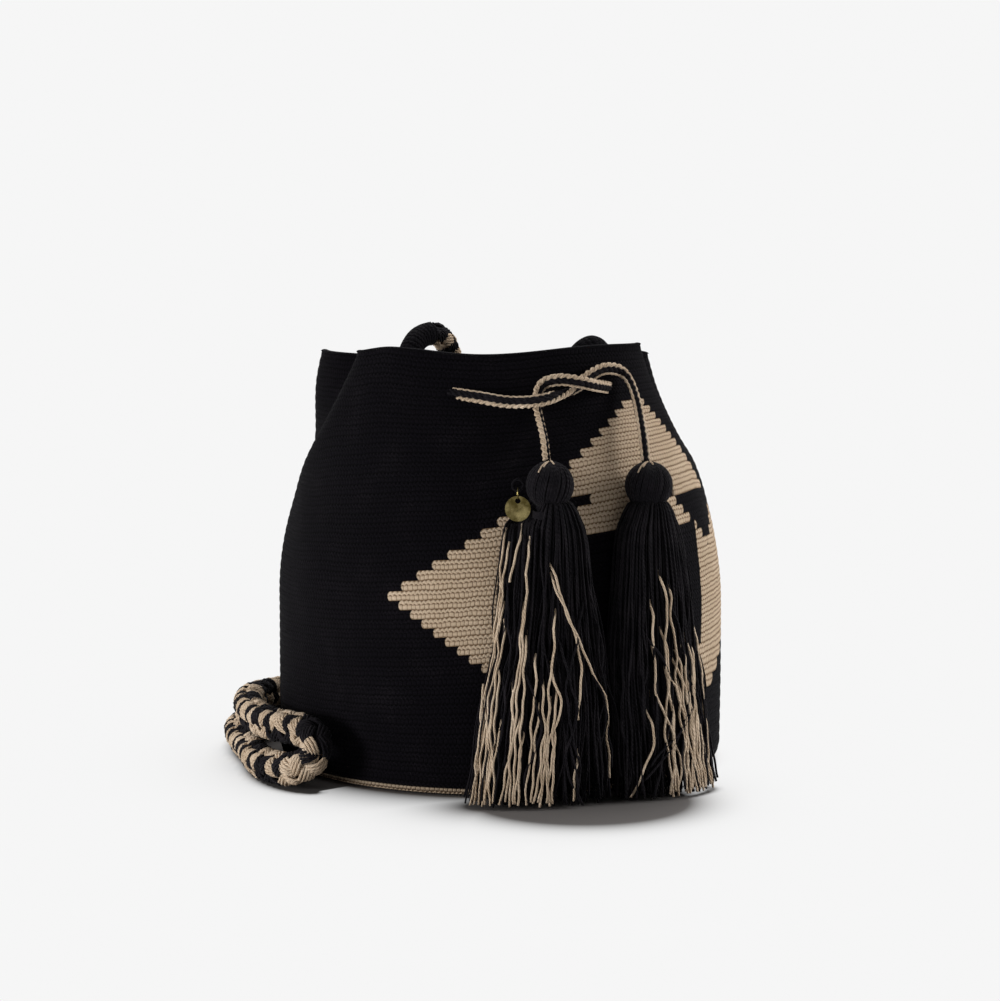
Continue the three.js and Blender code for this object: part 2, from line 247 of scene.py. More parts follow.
class Nodes:
    """Short ways to make nodes in one node tree."""

    def __init__(self, tree):
        self.tree = tree

    def new(self, kind, **settings):
        node = self.tree.nodes.new(kind)
        for key, value in settings.items():
            setattr(node, key, value)
        return node

    def join(self, a, b):
        self.tree.links.new(a, b)

    def put(self, socket, value):
        if isinstance(value, bpy.types.NodeSocket):
            self.join(value, socket)
        else:
            socket.default_value = value

    def math(self, operation, *values):
        node = self.new("ShaderNodeMath", operation=operation)
        for socket, value in zip(node.inputs, values):
            self.put(socket, value)
        return node.outputs[0]

    def add(self, a, b):
        return self.math("ADD", a, b)

    def subtract(self, a, b):
        return self.math("SUBTRACT", a, b)

    def multiply(self, a, b):
        return self.math("MULTIPLY", a, b)

    def larger(self, a, b):
        return self.math("MAXIMUM", a, b)

    def smaller(self, a, b):
        return self.math("MINIMUM", a, b)

    def absolute(self, a):
        return self.math("ABSOLUTE", a)

    def ramp(self, value, low, high, to_low=0.0, to_high=1.0, kind="SMOOTHSTEP"):
        node = self.new("ShaderNodeMapRange", interpolation_type=kind)
        for socket, v in zip(node.inputs, (value, low, high, to_low, to_high)):
            self.put(socket, v)
        return node.outputs[0]

    def mix(self, share, a, b):
        node = self.new("ShaderNodeMix", data_type="RGBA")
        self.put(node.inputs[0], share)
        for socket, value in zip((node.inputs[6], node.inputs[7]), (a, b)):
            self.put(socket, value)
        return node.outputs[2]

    def attribute(self, label):
        return self.new("ShaderNodeAttribute", attribute_name=label).outputs["Fac"]

    def noise(self, scale, detail=2.0, roughness=0.5):
        place = self.new("ShaderNodeTexCoord").outputs["Object"]
        node = self.new("ShaderNodeTexNoise")
        self.join(place, node.inputs["Vector"])
        node.inputs["Scale"].default_value = scale
        node.inputs["Detail"].default_value = detail
        node.inputs["Roughness"].default_value = roughness
        return node.outputs[0]

    def bump(self, height, distance, strength=1.0):
        node = self.new("ShaderNodeBump")
        node.inputs["Strength"].default_value = strength
        node.inputs["Distance"].default_value = distance
        self.join(height, node.inputs["Height"])
        return node.outputs[0]


class Material(Nodes):
    """The nodes of one new material."""

    def __init__(self, name):
        self.material = bpy.data.materials.new(name)
        self.material.use_nodes = True
        super().__init__(self.material.node_tree)
        self.shader = self.tree.nodes["Principled BSDF"]

    def finish(self, colour, normal, roughness, specular, sheen=0.0, metallic=0.0):
        """Joins the surface's values to the shader."""
        self.put(self.shader.inputs["Base Color"], colour)
        self.put(self.shader.inputs["Roughness"], roughness)
        self.shader.inputs["Metallic"].default_value = metallic
        self.shader.inputs["Specular IOR Level"].default_value = specular
        self.shader.inputs["Sheen Weight"].default_value = sheen
        self.shader.inputs["Sheen Roughness"].default_value = 0.45
        self.join(normal, self.shader.inputs["Normal"])
        return self.material


# The deep colours are painted shade for the grooves between plies and between loops.
BLACK = (0.0052, 0.0043, 0.0062, 1)
BLACK_WALL = (0.0030, 0.0024, 0.0038, 1)
BLACK_GROOVE_SHADE = (0.0011, 0.0009, 0.0014, 1)
# The worn and pale colours are random paler fluff, and on the crochet's raised loops they are also painted
# highlight.
BLACK_WORN_AND_HIGHLIGHT = (0.0135, 0.0112, 0.0140, 1)
BEIGE = (0.53, 0.405, 0.285, 1)
BEIGE_GROOVE_SHADE = (0.165, 0.104, 0.058, 1)
BEIGE_PALE_AND_HIGHLIGHT = (0.70, 0.56, 0.42, 1)
YARN_PLIES = 3
YARN_DEPTH = 0.00022


def thread_material(name, colour, deep, pale, pitch):
    """Twisted yarn: slanting plies from the stored length and turn, with painted shade in the grooves between
    plies and fine fluff.
    """
    n = Material(name)
    turned = n.multiply(n.attribute("around"), float(YARN_PLIES))
    phase = n.add(turned, n.multiply(n.attribute("along"), 1.0 / pitch))
    ply = n.absolute(n.math("SINE", n.multiply(phase, math.pi)))
    fluff = n.noise(2600.0, 3.0, 0.7)
    patch = n.noise(90.0, 3.0, 0.6)
    height = n.add(ply, n.multiply(fluff, 0.35))
    # Painted shade: the grooves between plies take the deep colour.
    body = n.mix(n.ramp(ply, 0.0, 0.55), deep, colour)
    shaded = n.mix(n.ramp(n.add(patch, n.multiply(fluff, 0.5)), 0.6, 1.0), body, pale)
    return n.finish(shaded, n.bump(height, YARN_DEPTH, 0.8), roughness=0.85, sheen=0.03, specular=0.1)


black_thread = thread_material("black_thread", BLACK, BLACK_GROOVE_SHADE, BLACK_WORN_AND_HIGHLIGHT, 2.2)
beige_thread = thread_material("beige_thread", BEIGE, BEIGE_GROOVE_SHADE, BEIGE_PALE_AND_HIGHLIGHT, 2.2)
black_rope = thread_material("black_rope", BLACK, BLACK_GROOVE_SHADE, BLACK_WORN_AND_HIGHLIGHT, 1.8)
beige_rope = thread_material("beige_rope", BEIGE, BEIGE_GROOVE_SHADE, BEIGE_PALE_AND_HIGHLIGHT, 1.8)

# The drawstring: three black ropes with a thick beige rope along one edge and a thin one along the other

cord_line = Line([(x, y, RIM - drop) for x, y, drop in CORD_ROUTE])
strap_line = Line(STRAP_ROUTE)


def outward_of(points):
    """Directions away from the bag's axis, level."""
    flat = points * np.array([1, 1, 0.0])
    return unit(flat + 1e-9)


CORD_STEP = 1.5
cord_s = np.linspace(0, cord_line.length, int(cord_line.length / CORD_STEP))
cord_points = cord_line.at(cord_s)
cord_tangent = unit(np.gradient(cord_points, axis=0))
cord_out = outward_of(cord_points)
cord_out = unit(cord_out - cord_tangent * np.sum(cord_out * cord_tangent, axis=1, keepdims=True))
for _ in range(6):
    between = (cord_out[:-2] + 2 * cord_out[1:-1] + cord_out[2:]) / 4
    cord_out = unit(np.vstack([cord_out[:1], between, cord_out[-1:]]))
# How far the braid is turned at some of the route's points, in degrees: its thick pale edge changes sides.
TWISTS = [(0, -50), (3, -50), (4.5, 0), (26, 0), (27.5, 180), (31.5, 180), (33.5, 360), (39, 360)]
twist_s = [cord_line.steps[int(index * SPAN_STEPS)] for index, _ in TWISTS]
twist = np.radians(np.interp(cord_s, twist_s, [degrees for _, degrees in TWISTS]))[:, None]
cord_flat = np.cross(cord_tangent, cord_out)
cord_side = cord_flat * np.cos(twist) + cord_out * np.sin(twist)
cord_out = cord_out * np.cos(twist) - cord_flat * np.sin(twist)
cord_mesh = Mesh()
# Each rope's place across the braid and outward, its colour slot and how thick each of its two plies is.
ROPES = [
    (-1.65, 0.0, 1, 0.86),
    (2.35, 0.1, 1, 0.44),
    (0.05, 0.5, 0, 0.8),
    (1.2, -0.3, 0, 0.74),
    (0.1, -0.9, 0, 0.8),
]
ROPE_PITCH = 6.5
PLY_OFFSET = 0.82
for place, lift, slot, thick in ROPES:
    for ply in range(2):
        turn = 2 * np.pi * (cord_s / ROPE_PITCH * (1 if slot else -1) + ply / 2) + place
        off = thick * PLY_OFFSET
        line = (
            cord_points
            + cord_side * (place + off * np.cos(turn))[:, None]
            + cord_out * (lift + off * np.sin(turn))[:, None]
        )
        cord_mesh.thread(line, thick, 6, slot)
drawstring = cord_mesh.make("drawstring_braid", [black_rope, beige_rope])

# The strap: a round braid of eight bundles, four each way

BRAID_PITCH = 44.0
BRAID_LIFT = 1.35
THREADS = 5
THREAD_RADIUS = 0.88
THREAD_PITCH = 1.42
BUNDLE_BOW = 0.55
BUNDLE_WOBBLE = 0.12
BRAID_RADIUS = 5.75
SLANT_RADIUS = 5.8
strap_start, strap_stop = RIGHT_TAB, strap_line.length - LEFT_TAB
STRAP_STEP = 1.75
strap_s = np.linspace(strap_start, strap_stop, int((strap_stop - strap_start) / STRAP_STEP))
strap_points = strap_line.at(strap_s)
strap_a, strap_b = carried_frame(strap_points, (0, 0, 1))
from_end = np.minimum(strap_s - strap_start, strap_stop - strap_s)
strap_swell = (STRAP_DIAMETER - STRAP_END_DIAMETER) * smooth(from_end, 0, STRAP_TAPER)
strap_scale = (STRAP_END_DIAMETER + strap_swell) / STRAP_DIAMETER
strap_mesh = Mesh()
BUNDLE_COLOURS = (1, 1, 0, 0)
for way in (1, -1):
    for bundle in range(4):
        angle = 2 * np.pi * (bundle / 4 + 0.125 * (way < 0)) + way * 2 * np.pi * strap_s / BRAID_PITCH
        wave = np.cos(np.pi * 8 * strap_s / BRAID_PITCH) * way
        for k in range(THREADS):
            place = (k - (THREADS - 1) / 2) * THREAD_PITCH
            bow = BUNDLE_BOW * (1 - (2 * place / (THREAD_PITCH * THREADS)) ** 2)
            wobble = BUNDLE_WOBBLE * np.sin(strap_s / 6.1 + bundle * 2.1 + k)
            reach = strap_scale * (BRAID_RADIUS + BRAID_LIFT * wave + bow + wobble)
            slant = math.atan2(2 * np.pi * SLANT_RADIUS, BRAID_PITCH)
            turn = angle + way * place * math.cos(slant) / SLANT_RADIUS
            shift = -place * math.sin(slant)
            s_here = np.clip(strap_s + shift, strap_start, strap_stop)
            line = (
                strap_line.at(s_here)
                + strap_a * (reach * np.cos(turn))[:, None]
                + strap_b * (reach * np.sin(turn))[:, None]
            )
            strap_mesh.thread(line, THREAD_RADIUS * strap_scale, 4, BUNDLE_COLOURS[bundle], turn=0.37 * k)
strap_braid = strap_mesh.make("strap_braid", [black_thread, beige_thread])

# The bag's wall

SHOULDER_BEND = 0.35
FOLD_POWER = 1.5
FOLD_DRIFT = 1.38
LEAN_END = RIM - 10
WAVES = 9


def turn_between(start, end):
    """The turn from one angle to another, from -180 to 180 degrees."""
    return np.mod(end - start + 180, 360) - 180


def plain_radius(z):
    """The wall's radius at height z before the folds."""
    z = np.asarray(z, float)
    up = 1 - np.clip(z, 0, BASE_CURVE) / BASE_CURVE
    low = BASE_RADIUS + (BODY_RADIUS - BASE_RADIUS) * np.sqrt(1 - up * up)
    t = np.maximum(0, (z - SHOULDER) / (RIM - SHOULDER))
    bend = SHOULDER_BEND
    steepness = 1 / (bend * bend + 2 * bend * (1 - bend))
    drawn = np.where(t < bend, steepness * t * t, steepness * bend * (2 * t - bend))
    return np.where(z < BASE_CURVE, low, BODY_RADIUS - (BODY_RADIUS - MOUTH_RADIUS) * drawn)


def fold_depth(angle, z):
    """How far the folds below the rim draw the wall inward."""
    total = 0.0
    for middle, drift, depth, before, after, drop in FOLDS:
        up = np.clip((z - (RIM - drop)) / drop, 0, None)
        centre = middle + drift * (FOLD_DRIFT * np.maximum(0, 1 - up)) ** FOLD_POWER
        off = turn_between(centre, angle)
        spread = np.where(off < 0, before, after)
        total = total + depth * up**FOLD_POWER * np.exp(-((off / spread) ** 2))
    return total


def rim_offset(angle):
    """How far the rim lies above its plain height."""
    knots = sorted(RIM_WAVE)
    angle = np.mod(np.asarray(angle, float) - knots[0][0], 360) + knots[0][0]
    out = np.zeros_like(angle)
    for i, (start, value) in enumerate(knots):
        end, after = knots[i + 1] if i + 1 < len(knots) else (knots[0][0] + 360, knots[0][1])
        inside = (angle >= start) & (angle < end)
        out = np.where(inside, value + (after - value) * smooth(angle, start, end), out)
    return out


def wall_point(angle, z, inset=0.0, lump=0.0):
    """A point of the wall at that angle in degrees and height along the cloth, moved inward by inset."""

    def plan(a):
        r = plain_radius(z) - fold_depth(a, z)
        share = 1 - (1 - MOUTH_DEPTH_SHARE) * smooth(z, SHOULDER, RIM)
        return np.stack([r * np.cos(np.radians(a)), r * np.sin(np.radians(a)) * share], -1)

    here = plan(angle)
    ahead = unit(plan(angle + 1) - plan(angle - 1))
    normal = np.stack([ahead[..., 1], -ahead[..., 0]], -1)
    here = here + normal * np.expand_dims(np.asarray(lump) - inset, -1)
    x = here[..., 0] - MOUTH_LEAN * smooth(z, LEAN_START, LEAN_END)
    height = z + rim_offset(angle) * smooth(z, SHOULDER, RIM)
    return np.stack([x, here[..., 1], height], -1)


def wavy(angle, z, seed):
    """Slow uneven bulges round and up the wall, mostly between -1 and 1."""
    draw = np.random.default_rng(seed)
    total = 0.0
    for _ in range(WAVES):
        turns = draw.integers(2, 15)
        rise = draw.uniform(-1, 1) * 2 * np.pi / 60
        phase = draw.uniform(0, 6.28)
        total = total + np.sin(turns * np.radians(angle) + rise * z + phase)
    return total / 4.0


COLUMNS = 432
ROWS = 46
FIRST_ROW = 2.05
SAMPLE = ROW / 3
# Angles in degrees: the seam, the motif's axis, where the stitch count starts, and the even front.
SEAM = 130.0
AXIS = -50.5
ANCHOR = -85.0
FRONT = -55.0
FRONT_ENDS = (80, 120)
MOTIF_ROW = 20
ROW_RELIEF = 0.22
ROW_LIFT = 20.0
LOOPS_PER_STITCH = 1.45
angles = SEAM - 360 + np.arange(COLUMNS + 1) * 360 / COLUMNS


def stitch_count(z):
    """How many stitches lie between the motif's axis and each column, at heights z."""
    out = np.empty((len(z), COLUMNS + 1))
    front = 1 - smooth(np.abs(turn_between(FRONT, (angles[1:] + angles[:-1]) / 2)), *FRONT_ENDS)
    start = (ANCHOR - AXIS) / (360 / STITCHES)
    for i, h in enumerate(z):
        p = wall_point(angles, np.full(COLUMNS + 1, h))
        step = np.linalg.norm(np.diff(p[:, :2], axis=0), axis=1)
        natural = step / (2 * np.pi * BODY_RADIUS / STITCHES)
        extra = (STITCHES - natural.sum()) / np.sum(1 - front)
        total = np.concatenate([[0], np.cumsum(natural + extra * (1 - front))])
        out[i] = total - np.interp(ANCHOR, angles, total) + start
    return out


def row_lift(angle, z):
    """How far the rows climb towards the right side, most at half height."""
    swing = 0.5 * (np.sin(np.radians(angle + 85)) + 0.53)
    return ROW_LIFT * swing * smooth(z, 0, 60) * (1 - smooth(z, 130, RIM))


LUMP = 0.42
LUMP_SINK = 0.3
UNEVEN = 0.25
BEAD_SWELL = 0.5
BEAD_ROW = 0.13
outer_z = np.concatenate([[0], np.arange(FIRST_ROW - SAMPLE, RIM - 0.5, SAMPLE), [RIM]])
row_place = (outer_z - FIRST_ROW) / ROW
relief = ROW_RELIEF * np.abs(np.sin(np.pi * row_place)) ** 0.7
A, Z = np.meshgrid(angles[:-1], outer_z)
lump = relief[:, None] + LUMP * wavy(A, Z, 3) * smooth(Z, 6, 40) - LUMP_SINK
outer = wall_point(A, Z + row_lift(A, Z), 0.0, lump)
outer[:, :, 2] += UNEVEN * wavy(A, Z + 40, 5) * smooth(Z, 10, 40)
whole_turn = np.meshgrid(angles, outer_z)
outer_values = np.stack(
    [
        stitch_count(outer_z),
        np.repeat(row_place[:, None], COLUMNS + 1, 1),
        row_lift(*whole_turn) / ROW,
    ],
    -1,
)

bead = []
for t in np.linspace(0, np.pi, 9)[1:-1]:
    inset = WALL / 2 - (WALL / 2 + BEAD_SWELL) * math.cos(t)
    edge = wall_point(angles[:-1], np.full(COLUMNS, RIM), inset)
    bead.append(edge + np.array([0, 0, RIM_BEAD * math.sin(t)]))
bead = np.array(bead)
inner_z = np.linspace(RIM, WALL, ROWS + 1)
A2, Z2 = np.meshgrid(angles[:-1], inner_z)
inner = wall_point(A2, Z2, WALL, 0.3 * np.abs(np.sin(np.pi * Z2 / ROW + 0.4)))
wall_points = np.concatenate([outer, bead, inner, outer[:1]], 0)


def plain_values(stitches, rows):
    """Stored numbers for cloth that has no motif."""
    rows = np.repeat(np.asarray(rows, float)[:, None], COLUMNS + 1, 1)
    return np.stack([stitches, rows, np.zeros_like(rows)], -1)


bead_rows = ROWS + BEAD_ROW * np.arange(1, len(bead) + 1)
bead_values = plain_values(np.repeat(outer_values[-1:, :, 0], len(bead), 0), bead_rows)
inner_values = plain_values(stitch_count(inner_z), -inner_z / ROW - 60)
join_values = plain_values(outer_values[:1, :, 0], [-61])
wall_mesh = Mesh()
wall_mesh.grid(wall_points, np.concatenate([outer_values, bead_values, inner_values, join_values], 0))

# The motif's sizes, in stitches to each side of its axis and in rows above and below its middle row.
DIAMOND_REACH = 20.4
BLUNT_REACH = 19.4
DIAMOND_LEAN = 0.12
TRIANGLE_SIDE = 18.0
TRIANGLE_TIP = 6.2
TRIANGLE_TOP = 10.9
TRIANGLE_SPREAD = 9.0
MIDDLE_SIDE = 13.5
MIDDLE_END = 6.3
STEP_ROUND = 1.2
# Places and half widths of the two lines of loops in a row, as shares of its height.
ROPE_PLACE = 0.77
ROPE_HALF = 0.22
POST_PLACE = 0.3
POST_HALF = 0.3
STITCH_DEPTH = 0.0007


def crochet(name):
    """Rows of single stitches in black or beige yarn, from the stored stitch and row counts."""
    n = Material(name)
    drift = n.multiply(n.subtract(n.noise(110.0, 2.0, 0.5), 0.5), 0.9)
    sag = n.multiply(n.subtract(n.noise(160.0, 2.0, 0.5), 0.5), 0.3)
    true_stitch, true_row = n.attribute("along"), n.attribute("around")
    row = n.add(true_row, sag)
    in_row = n.math("FRACT", n.add(row, 100.0))
    shift = n.multiply(n.math("FLOOR", row), 0.37)
    # Each row has a rope of slanting loops along its top and a line of short posts below it.
    fine = n.add(n.multiply(n.add(true_stitch, drift), LOOPS_PER_STITCH), shift)
    swell = n.math("SINE", n.multiply(fine, 2 * math.pi))
    tick = n.math("SINE", n.multiply(n.add(fine, n.multiply(in_row, 1.5)), math.pi))
    from_rope = n.subtract(in_row, n.add(ROPE_PLACE, n.multiply(swell, 0.065)))
    rope_off = n.absolute(n.math("DIVIDE", from_rope, ROPE_HALF))
    rope = n.subtract(1.0, n.math("POWER", rope_off, 2.0))
    rope_tick = n.ramp(n.absolute(tick), 0.0, 0.55, 0.78, 1.0)
    rope = n.multiply(n.larger(rope, 0.0), rope_tick)
    from_post = n.math("DIVIDE", n.subtract(in_row, POST_PLACE), POST_HALF)
    post = n.subtract(1.0, n.math("POWER", n.absolute(from_post), 2.0))
    upright = n.absolute(n.math("SINE", n.multiply(n.add(fine, 0.5), math.pi)))
    post = n.multiply(n.larger(post, 0.0), n.ramp(upright, 0.0, 0.6, 0.36, 0.85))
    rise = n.larger(rope, post)
    fluff = n.noise(1900.0, 4.0, 0.75)
    patch = n.noise(55.0, 2.0, 0.5)
    height = n.add(rise, n.multiply(fluff, 0.34))
    # The motif: how far each stitch lies inside the stepped outline.
    true_in_row = n.math("FRACT", n.add(true_row, 100.0))
    up = n.add(n.subtract(n.math("FLOOR", true_row), float(MOTIF_ROW)), n.attribute("lift"))
    from_middle = n.absolute(n.subtract(true_in_row, 0.5))
    finger = n.multiply(n.math("POWER", from_middle, 2.0), STEP_ROUND)
    true_side = n.add(true_stitch, n.multiply(drift, 0.5))
    side = n.absolute(true_side)
    # The diamond leans a little to the right above its middle.
    leaning = n.subtract(true_side, n.multiply(n.larger(up, 0.0), DIAMOND_LEAN))
    edge = n.multiply(n.subtract(DIAMOND_REACH, n.absolute(up)), 2.0)
    in_diamond = n.subtract(n.subtract(edge, n.absolute(leaning)), finger)
    blunt = n.multiply(n.subtract(BLUNT_REACH, n.absolute(up)), 2.0)
    in_diamond = n.smaller(in_diamond, blunt)
    # The black triangles hang from a level line and point down. The left one has a flatter outer side.
    right_side = n.math("GREATER_THAN", true_side, 0.0)
    beyond = n.math("GREATER_THAN", side, TRIANGLE_SIDE)
    sunk = n.add(n.add(up, 0.5), n.multiply(right_side, 0.5))
    from_tip = n.add(n.subtract(sunk, TRIANGLE_TIP), right_side)
    steep = n.multiply(beyond, n.subtract(1.0, right_side))
    slope = n.subtract(2.0, n.multiply(steep, 1.2))
    tip = n.absolute(n.subtract(side, TRIANGLE_SIDE))
    spread = n.larger(n.subtract(sunk, TRIANGLE_SPREAD), 0.0)
    outer_top = n.multiply(spread, n.multiply(beyond, 8.0))
    in_triangle = n.subtract(n.multiply(from_tip, slope), tip)
    in_triangle = n.add(n.add(in_triangle, outer_top), finger)
    under_top = n.multiply(n.subtract(TRIANGLE_TOP, sunk), 3.0)
    in_triangle = n.smaller(in_triangle, under_top)
    # The black middle has level ends and straight sides.
    ends = n.multiply(n.subtract(MIDDLE_END, n.absolute(up)), 2.0)
    middle = n.add(n.smaller(n.subtract(MIDDLE_SIDE, side), ends), finger)
    in_black = n.larger(in_triangle, middle)
    inside = n.smaller(in_diamond, n.multiply(in_black, -1.0))
    beige_share = n.ramp(inside, -0.1, 0.1)
    base_edge = n.multiply(n.ramp(true_row, 0.3, 0.5, 1.0, 0.0), n.ramp(true_row, -0.3, -0.15))
    beige_share = n.larger(beige_share, base_edge)
    # Painted light from the relief: the grooves between loops take the deep colour as painted shade, and
    # raised loops take the pale colour where the noise is high, partly random fluff and partly painted
    # highlight.
    light = n.ramp(rise, 0.0, 0.85)
    mottle = n.add(n.multiply(patch, 0.3), n.multiply(fluff, 0.7))
    black = n.mix(light, BLACK_GROOVE_SHADE, BLACK_WALL)
    black = n.mix(n.multiply(n.ramp(mottle, 0.5, 0.74), light), black, BLACK_WORN_AND_HIGHLIGHT)
    beige = n.mix(light, BEIGE_GROOVE_SHADE, BEIGE)
    beige = n.mix(n.multiply(n.ramp(mottle, 0.45, 0.75), light), beige, BEIGE_PALE_AND_HIGHLIGHT)
    colour = n.mix(beige_share, black, beige)
    return n.finish(colour, n.bump(height, STITCH_DEPTH, 0.8), roughness=0.92, sheen=0.015, specular=0.05)


crochet_yarn = crochet("crochet_yarn")
bag_wall = wall_mesh.make("bag_wall", [crochet_yarn])

# The round base, worked in rounds like the wall

BASE_COLUMNS = 216
BASE_STITCH = 3.2
base_radii = np.linspace(BASE_RADIUS - WALL - 0.6, 1.5, 70)
base_angles = np.arange(BASE_COLUMNS + 1) * 360 / BASE_COLUMNS
base_mesh = Mesh()
ring_rows, ring_values = [], []
for level, order in ((0.0, 1), (WALL, -1)):
    for r in base_radii[::-1][::order]:
        ripple = 0.25 * abs(math.sin(math.pi * r / ROW)) * (1 if level else -0.6)
        a = np.radians(base_angles[:-1])
        height = np.full(BASE_COLUMNS, max(0.05, level + ripple))
        ring_rows.append(np.stack([r * np.cos(a), r * np.sin(a), height], -1))
        around = base_angles * r * 2 * np.pi / 360 / BASE_STITCH
        ring_values.append(np.stack([around, np.full(BASE_COLUMNS + 1, -r / ROW - 30), 0 * around], -1))
base_rows = np.array(ring_rows)[::-1]
base_values = np.array(ring_values)[::-1]
base_mesh.grid(
    np.concatenate([base_rows, base_rows[:1]], 0),
    np.concatenate([base_values, base_values[:1]], 0),
)
bag_base = base_mesh.make("bag_base", [crochet_yarn])

# The strap's crocheted tabs

TAB_SIDES = 30
HEM_SIDES = 16
TAB_STITCHES = 12
PLAIN_ROW = 60.0
HEM_RADII = (2.6, 5.6)
RIGHT_HEM = [(27, 54, 196.5), (36, 53, 199), (44, 54, 201.4), (50, 58, 202)]


def tab_corner(corner):
    """Stitch and row counts for the hem from its length and turn."""
    stitches = corner[:, 1] * TAB_STITCHES + PLAIN_ROW
    return np.stack([stitches, corner[:, 0] / ROW + PLAIN_ROW, 0 * corner[:, 0]], -1)


def tab(name, start, stop, hem=None):
    """A crocheted tube along the strap's line, with a hem that spreads along the rim where one is given."""
    s = np.linspace(start, stop, 44)
    points = strap_line.at(s)
    side, other = carried_frame(points, (0, 0.3, 1))
    a = np.arange(TAB_SIDES) * 2 * np.pi / TAB_SIDES
    ends = np.minimum(1, np.sqrt(np.clip(np.minimum(s - start, stop - s) / 2.4, 0.02, 1)))
    radius = (TAB_DIAMETER / 2 - 0.2) * ends * (1 + 0.012 * np.abs(np.sin(np.pi * s / ROW)))
    round_tab = np.cos(a)[None, :, None] * side[:, None] + np.sin(a)[None, :, None] * other[:, None]
    ring = points[:, None] + radius[:, None, None] * round_tab
    mesh = Mesh()
    count = np.arange(TAB_SIDES + 1) * TAB_STITCHES / TAB_SIDES + PLAIN_ROW
    rows = np.repeat(s[:, None] / ROW + PLAIN_ROW, TAB_SIDES + 1, 1)
    values = np.stack([np.repeat(count[None], len(s), 0), rows, 0 * rows], -1)
    base = mesh.grid(ring, values)
    if hem is not None:
        hem_points = Line(hem).points
        mesh.thread(hem_points, np.linspace(*HEM_RADII, len(hem_points)), HEM_SIDES)
        mesh.corners[-3] = tab_corner(mesh.corners[-3])
        mesh.corners[-2:] = [np.tile([PLAIN_ROW, PLAIN_ROW, 0.0], (HEM_SIDES, 1))] * 2
    for end, order in ((0, -1), (len(s) - 1, 1)):
        mesh.faces.append((base + end * TAB_SIDES + np.arange(TAB_SIDES))[::order].tolist())
        mesh.corners.append(np.tile([PLAIN_ROW, PLAIN_ROW, 0.0], (TAB_SIDES, 1)))
        mesh.slots.append(0)
    return mesh.make(name, [crochet_yarn])


tab_right = tab("tab_right", 0.3, RIGHT_TAB + 3, RIGHT_HEM)
tab_left = tab("tab_left", strap_line.length - LEFT_TAB - 3, strap_line.length - 0.3)

# Tassels

TASSEL_SEED = {"left": 7, "right": 8}
STRANDS = 420
STRAND_STEPS = 30
STRAND_RADIUS = 0.58
WRAPS = 104
WRAP_RADIUS = 0.5
WRAP_INSET = 0.78
CORE_INSET = 1.15
CROWN_INSET = 0.1
CROWN_RADIUS = 0.42
NECK_WRAP_OUT = 0.9
NECK_WRAP_RADIUS = 0.55
CORE_SIDES = 20
# Each beige thread on a head's crown: its turn in radians, and its lower and upper end as shares of pi.
CROWN_THREADS = ((-2.2, 0.2, 0.44), (-2.02, 0.3, 0.46), (-1.2, 0.36, 0.47))
NECK_TURNS = 5
NECK_PITCH = 0.62
# How far the threads reach to the left and to the right, in millimetres, at shares of the way down.
STATIONS = [0, 0.01, 0.022, 0.055, 0.11, 0.28, 0.47, 0.64, 1]
SPREAD = {
    "left": (
        [8.6, 13, 17, 21.5, 22.5, 23.5, 25, 28.5, 32],
        [8.6, 12, 14, 16.5, 18.5, 22, 27, 30.5, 33],
    ),
    "right": (
        [8.6, 12, 14.5, 18, 20.5, 24, 27.5, 29, 29],
        [8.6, 12, 14.5, 17, 19.5, 22.5, 24, 25, 28],
    ),
}
DEEPEN = ([0, 0.02, 0.1, 0.3, 1], [0.7, 0.88, 0.97, 1, 1])
SHOULDER_RISE = 4.2
SHOULDER_SHARE = 0.03
WALL_CLEAR = 1.2
# The charm hangs in front of the threads: its middle, and how far forward the threads reach behind it.
CHARM = (8.3, -100.9, 136.8)
CHARM_CLEAR = 12.5
CHARM_FADE = 5
